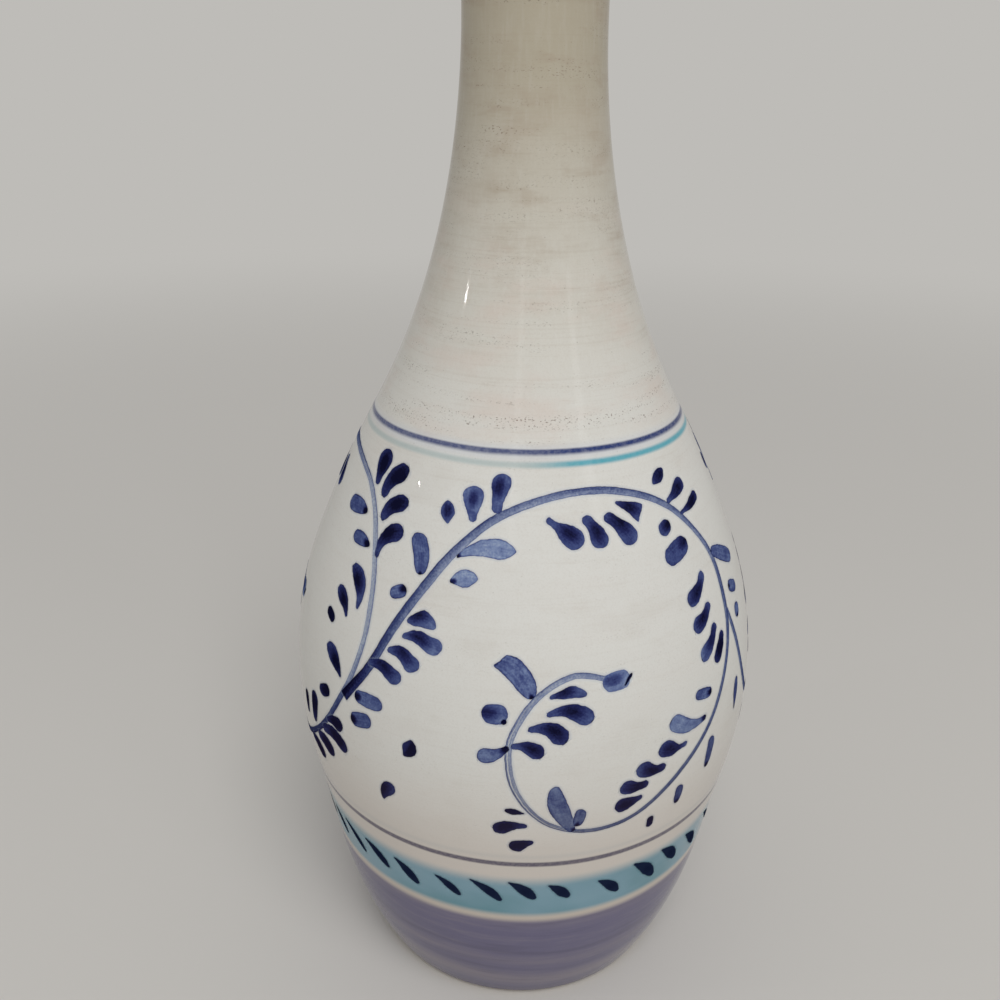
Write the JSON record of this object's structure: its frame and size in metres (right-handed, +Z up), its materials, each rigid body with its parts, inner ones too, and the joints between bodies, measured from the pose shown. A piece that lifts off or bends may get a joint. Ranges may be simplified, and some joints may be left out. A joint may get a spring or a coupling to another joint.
{
  "type": "bottle vase",
  "caption": "Free-standing glazed earthenware bottle vase with a small foot, round belly, sloping shoulder and long slim neck with a flared lip, painted with a trailing vine.",
  "frame": {"origin": "centre of the foot, on the surface that the vase stands on", "axes": "+Z up along the axis of the vase, -Y towards the front with the scrolled vine, +X to the right of it"},
  "size_m": [0.15, 0.15, 0.342],
  "materials": {
    "fired_clay": "matt bare earthenware",
    "joining_slip": "matt fired slip",
    "painted_glaze": "clear gloss glaze over brushed white slip and painted lines",
    "liner_glaze": "gloss glaze, poured"
  },
  "bodies": {
    "root": {"belly": "fired_clay", "luting_slip": "joining_slip", "neck": "fired_clay", "outer_glaze": "painted_glaze", "liner_glaze": "liner_glaze"}
  },
  "joints": []
}
